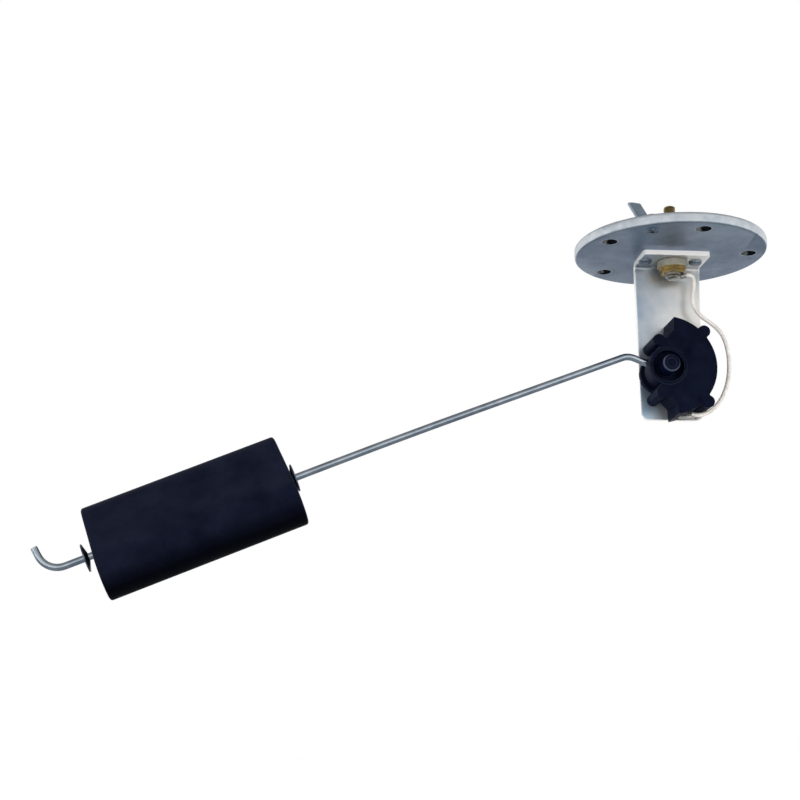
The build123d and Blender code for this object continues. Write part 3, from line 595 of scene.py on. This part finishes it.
def thread_tree():
    """Geometry Nodes: a threaded bar along +Z, one closed skin whose radius follows the helix."""
    tree, given = maker_tree(
        "rolled_thread", ("Crest Radius", "Depth", "Pitch", "Length", "End Round"), ("Rows", "Around"),
    )
    sheet = add(tree, "GeometryNodeMeshGrid", 1.0, 1.0, given["Rows"], given["Around"])
    place = add(tree, "ShaderNodeSeparateXYZ", add(tree, "GeometryNodeInputPosition")).outputs
    up_share = add(tree, "ShaderNodeMath", place["X"], 0.5, operation="ADD")
    up = add(tree, "ShaderNodeMath", up_share, given["Length"], operation="MULTIPLY")
    round_share = add(tree, "ShaderNodeMath", place["Y"], 0.5, operation="ADD")
    angle = add(tree, "ShaderNodeMath", round_share, 2 * math.pi, operation="MULTIPLY")
    pitches = add(tree, "ShaderNodeMath", up, given["Pitch"], operation="DIVIDE")
    turns = add(tree, "ShaderNodeMath", pitches, round_share, operation="SUBTRACT")
    half_turns = add(tree, "ShaderNodeMath", turns, 2.0, operation="MULTIPLY")
    wave = add(tree, "ShaderNodeMath", half_turns, 1.0, operation="PINGPONG")
    flank = add(tree, "ShaderNodeMapRange", wave, THREAD_FLAT, 1 - THREAD_FLAT)
    groove = add(tree, "ShaderNodeMath", flank, given["Depth"], operation="MULTIPLY")
    ridge = add(tree, "ShaderNodeMath", given["Crest Radius"], groove, operation="SUBTRACT")
    from_top = add(tree, "ShaderNodeMath", given["Length"], up, operation="SUBTRACT")
    from_end = add(tree, "ShaderNodeMath", up, from_top, operation="MINIMUM")
    into_round = add(tree, "ShaderNodeMapRange", from_end, 0.0, given["End Round"])
    missing = add(tree, "ShaderNodeMath", 1.0, into_round, operation="SUBTRACT")
    missing_squared = add(tree, "ShaderNodeMath", missing, missing, operation="MULTIPLY")
    dome_squared = add(tree, "ShaderNodeMath", 1.0, missing_squared, operation="SUBTRACT")
    dome = add(tree, "ShaderNodeMath", dome_squared, operation="SQRT")
    limit = add(tree, "ShaderNodeMath", dome, given["Crest Radius"], operation="MULTIPLY")
    radius = add(tree, "ShaderNodeMath", ridge, limit, operation="MINIMUM")
    point = on_circle(tree, radius, angle, up)
    bar = add(tree, "GeometryNodeSetPosition", sockets={"Geometry": sheet, "Position": point})
    closed = add(
        tree, "GeometryNodeMergeByDistance", sockets={"Geometry": bar, "Distance": WELD_THREAD},
    )
    put_out(tree, closed, given["Material"])
    return tree


def winding_tree():
    """Geometry Nodes: turns of wire round a curved former, each turn one closed loop."""
    tree, given = maker_tree(
        "resistance_turns",
        ("Track Radius", "Start Angle", "Sweep Angle", "Loop Width", "Loop Height", "Wire Radius"),
        ("Turns",),
    )
    line = add(
        tree, "GeometryNodeMeshLine", sockets={"Count": given["Turns"], "Offset": (0, 0, 0)},
        mode="OFFSET",
    )
    last = add(tree, "ShaderNodeMath", given["Turns"], 1, operation="SUBTRACT")
    share = add(tree, "ShaderNodeMath", add(tree, "GeometryNodeInputIndex"), last, operation="DIVIDE")
    angle = add(
        tree, "ShaderNodeMath", share, given["Sweep Angle"], given["Start Angle"],
        operation="MULTIPLY_ADD",
    )
    seat = on_circle(tree, given["Track Radius"], angle)
    seats = add(tree, "GeometryNodeSetPosition", sockets={"Geometry": line, "Position": seat})
    outline = add(
        tree, "GeometryNodeCurvePrimitiveQuadrilateral", given["Loop Width"], given["Loop Height"],
    )
    eased = add(
        tree, "GeometryNodeFilletCurve", outline, WIRE_BEND_POINTS, WIRE_BEND * MM, mode="POLY",
    )
    section = add(tree, "GeometryNodeCurvePrimitiveCircle", WIRE_SIDES, given["Wire Radius"])
    loop = add(tree, "GeometryNodeCurveToMesh", eased, section)
    upright = add(
        tree, "GeometryNodeTransform", sockets={"Geometry": loop, "Rotation": (math.pi / 2, 0, 0)},
    )
    turned = add(tree, "ShaderNodeCombineXYZ", 0.0, 0.0, angle)
    turns = add(
        tree, "GeometryNodeInstanceOnPoints",
        sockets={"Points": seats, "Instance": upright, "Rotation": turned},
    )
    put_out(tree, turns, given["Material"])
    return tree


def new_object(name, data):
    """An object with this data, in the scene."""
    made = bpy.data.objects.new(name, data)
    bpy.context.collection.objects.link(made)
    return made


def grown(name, tree, inputs, place):
    """A plain mesh object made by a Geometry Nodes tree, put in its place in the mesh."""
    seed = new_object(name + "_seed", bpy.data.meshes.new(name + "_seed"))
    modifier = seed.modifiers.new("shape", "NODES")
    modifier.node_group = tree
    for item in tree.interface.items_tree:
        if item.item_type == "SOCKET" and item.in_out == "INPUT":
            modifier[item.identifier] = inputs[item.name]
    graph = bpy.context.evaluated_depsgraph_get()
    mesh = bpy.data.meshes.new_from_object(seed.evaluated_get(graph))
    bpy.data.objects.remove(seed)
    mesh.name = name
    mesh.transform(place)
    return new_object(name, mesh)


def make_stud(tree, brass):
    """The stud with its rolled thread from end to end."""
    low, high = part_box("terminal_stud")
    length = high.z - low.z
    stud = grown("threaded_stud", tree, {
        "Crest Radius": STUD_CREST * MM, "Depth": STUD_THREAD_DEPTH * MM, "Pitch": STUD_PITCH * MM,
        "Length": length, "End Round": STUD_TIP_ROUND * MM,
        "Rows": round(length / (STUD_PITCH * MM) * STUD_ROWS_PER_TURN), "Around": STUD_POINTS_AROUND,
        "Material": brass,
    }, Matrix.Translation((STUD_X * MM, STUD_Y * MM, low.z)))
    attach(stud, "sender")
    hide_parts("terminal_stud")


def make_winding(tree, wire):
    """The resistance wire as separate turns round its former."""
    height = FORMER_BACK - FORMER_FRONT
    middle = (FORMER_BACK + FORMER_FRONT) / 2
    face_viewer = Matrix.Rotation(math.pi / 2, 4, "X")
    winding = grown("resistance_turns", tree, {
        "Track Radius": TRACK_RADIUS * MM, "Start Angle": math.radians(TRACK_START),
        "Sweep Angle": math.radians(TRACK_SWEEP), "Loop Width": (FORMER_THICKNESS + 2 * WIRE_RADIUS) * MM,
        "Loop Height": (height + 2 * WIRE_RADIUS) * MM, "Wire Radius": WIRE_RADIUS * MM,
        "Turns": TRACK_TURNS, "Material": wire,
    }, Matrix.Translation((PIVOT + Vector((0, middle, 0))) * MM) @ face_viewer)
    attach(winding, "sender")
    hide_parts("resistor_winding")


def make_lead(skin):
    """The signal lead, one smooth line that follows its route's points."""
    line = bpy.data.curves.new("signal_wire", "CURVE")
    line.dimensions = "3D"
    line.bevel_depth = LEAD_DIAMETER / 2 * MM
    line.bevel_resolution = 5
    line.resolution_u = 10
    line.use_fill_caps = True
    spline = line.splines.new("NURBS")
    spline.points.add(len(LEAD_ROUTE) - 1)
    for point, (x, y, z) in zip(spline.points, LEAD_ROUTE):
        point.co = (x * MM, y * MM, z * MM, 1)
    spline.order_u = 3
    spline.use_endpoint_u = True
    line.materials.append(skin)
    lead = new_object("signal_wire", line)
    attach(lead, "sender")
    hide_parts("signal_lead")


def make_stud_solder(solder):
    """The turned bead that joins the stud's lower end to its eyelet, with the lumps of a hand joint."""
    centre = Vector((STUD_X, STUD_Y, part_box("solder_eyelet")[0].z / MM))
    bead = bmesh.new()
    loops = []
    for height, radius in BEAD_RINGS:
        loop = []
        for side in range(BEAD_SIDES):
            angle = 2 * math.pi * side / BEAD_SIDES
            spot = Vector((math.cos(angle) * radius, math.sin(angle) * radius, height))
            lump = noise.noise(spot * BEAD_LUMPS_PER_MM) * BEAD_LUMP
            loop.append(bead.verts.new((centre + spot * (1 + lump / max(radius, 1.0))) * MM))
        loops.append(loop)
    for lower, upper in zip(loops, loops[1:]):
        for side in range(BEAD_SIDES):
            after = (side + 1) % BEAD_SIDES
            bead.faces.new((lower[side], lower[after], upper[after], upper[side]))
    bead.faces.new(loops[-1])
    bead.faces.new(list(reversed(loops[0])))
    for face in bead.faces:
        face.smooth = True
    mesh = bpy.data.meshes.new("stud_solder")
    bead.to_mesh(mesh)
    bead.free()
    mesh.materials.append(solder)
    piece = new_object("stud_solder", mesh)
    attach(piece, "sender")


def dress_nodes(finishes, shading):
    """Gives every solid its finish, and smooth shading where it is round."""
    slots = {row["node"]: row["material_slot"] for row in frame["record"]["subparts"]}
    for name, piece in frame["nodes"].items():
        piece.data.materials.clear()
        piece.data.materials.append(finishes[slots[name]])
        modifier = piece.modifiers.new("smooth_round_faces", "NODES")
        modifier.node_group = shading


def make_camera():
    """The camera at the photographer's place."""
    data = bpy.data.cameras.new("camera")
    data.lens = LENS
    data.sensor_width = SENSOR
    camera = new_object("camera", data)
    back = -CAMERA_AIM.normalized()
    right = (CAMERA_RIGHT - back * CAMERA_RIGHT.dot(back)).normalized()
    turn = Matrix((right, back.cross(right), back)).transposed().to_4x4()
    camera.matrix_world = Matrix.Translation(CAMERA_PLACE) @ turn
    bpy.context.scene.camera = camera


def straight_on(tree):
    """1 for what the lens sees straight on or through something clear."""
    rays = add(tree, "ShaderNodeLightPath").outputs
    return add(
        tree, "ShaderNodeMath", rays["Is Camera Ray"], rays["Is Transmission Ray"], operation="MAXIMUM",
    )


def white_world():
    """White surroundings: in mirrors the ceiling is dark, and the lens's own side of the room dimmer."""
    world = bpy.data.worlds.new("studio")
    world.use_nodes = True
    bpy.context.scene.world = world
    tree = world.node_tree
    way = add(tree, "ShaderNodeSeparateXYZ", add(tree, "ShaderNodeTexCoord").outputs["Generated"]).outputs
    room = add(tree, "ShaderNodeMapRange", way["Y"], *ROOM_SPAN, ROOM_LEVEL, 1.0)
    ceiling = add(
        tree, "ShaderNodeMapRange", way["Z"], *CEILING_SPAN, 1.0, CEILING_LEVEL,
        interpolation_type="SMOOTHSTEP",
    )
    mirrored = add(tree, "ShaderNodeMath", room, ceiling, operation="MULTIPLY")
    extra = add(tree, "ShaderNodeMath", mirrored, SKY_LEVEL, operation="SUBTRACT")
    in_mirror = add(tree, "ShaderNodeLightPath").outputs["Is Glossy Ray"]
    shone = add(tree, "ShaderNodeMath", in_mirror, extra, SKY_LEVEL, operation="MULTIPLY_ADD")
    level = add(tree, "ShaderNodeMath", shone, straight_on(tree), operation="MAXIMUM")
    feed(tree, tree.nodes["Background"], Color=(1, 1, 1, 1), Strength=level)


def make_floor():
    """A pale floor, white to the lens and far off. It keeps the object's shadow, and mirrors see it dim
    near by."""
    mesh = bpy.data.meshes.new("floor")
    corners = ((-1, -1), (1, -1), (1, 1), (-1, 1))
    mesh.from_pydata(
        [(x * FLOOR_HALF_SIZE, y * FLOOR_HALF_SIZE, FLOOR_HEIGHT) for x, y in corners], [], [(0, 1, 2, 3)],
    )
    floor = new_object("floor", mesh)
    material, tree, shader, where = finish_named("pale_floor", Roughness=0.8, Emission_Color="ffffff")
    distance = add(tree, "ShaderNodeVectorMath", where, operation="LENGTH")
    far = add(tree, "ShaderNodeMapRange", distance, *FLOOR_WHITENS)
    in_mirror = add(tree, "ShaderNodeLightPath").outputs["Is Glossy Ray"]
    far_mirror = add(tree, "ShaderNodeMath", in_mirror, far, operation="MULTIPLY")
    near_mirror = add(tree, "ShaderNodeMath", in_mirror, far_mirror, operation="SUBTRACT")
    bright = add(tree, "ShaderNodeMath", straight_on(tree), far_mirror, operation="MAXIMUM")
    feed(
        tree, shader,
        Base_Color=add(tree, "ShaderNodeMix", near_mirror, "f4f4f4", "7a8086", data_type="RGBA"),
        Emission_Strength=add(tree, "ShaderNodeMath", bright, FLOOR_GLOW, operation="MULTIPLY"),
    )
    mesh.materials.append(material)


def make_lamp(name, place, size, power):
    """A soft rectangular lamp that points at the object; mirrors don't show it."""
    data = bpy.data.lights.new(name, "AREA")
    data.shape = "RECTANGLE"
    data.size, data.size_y = size
    data.energy = power
    lamp = new_object(name, data)
    lamp.visible_glossy = False
    lamp.location = place
    lamp.rotation_euler = (Vector(LAMP_AIM) - Vector(place)).to_track_quat("-Z", "Y").to_euler()


def make_studio():
    """Plain soft light: one large lamp above, one at each side of the camera."""
    white_world()
    make_floor()
    for lamp in LAMPS:
        make_lamp(*lamp)


bpy.context.scene.view_settings.view_transform = "Standard"
make_camera()
finishes = {
    "zinc_plated_steel": dull_zinc(),
    "bright_sheet_steel": bright_sheet(),
    "rivet_steel": rivet_steel(),
    "stud_brass": turned_brass(),
    "natural_nylon": natural_nylon(),
    "tinned_copper": hot_tin(),
    "solder": soft_solder(),
    "lead_insulation": lead_skin(),
    "black_acetal": black_acetal(),
    "former_board": former_board(),
    "resistance_wire": resistance_wire(),
    "spring_steel": spring_metal(),
    "arm_wire": drawn_wire(),
    "nitrile_foam": foam_skin(),
}
finishes["spring_brass"] = finishes["stud_brass"]
finishes["screw_steel"] = finishes["rivet_steel"]
finishes["retainer_steel"] = finishes["spring_steel"]
dress_nodes(finishes, shading_tree())
make_lead(finishes["lead_insulation"])
make_stud(thread_tree(), finishes["stud_brass"])
make_winding(winding_tree(), finishes["resistance_wire"])
make_stud_solder(finishes["solder"])
make_studio()
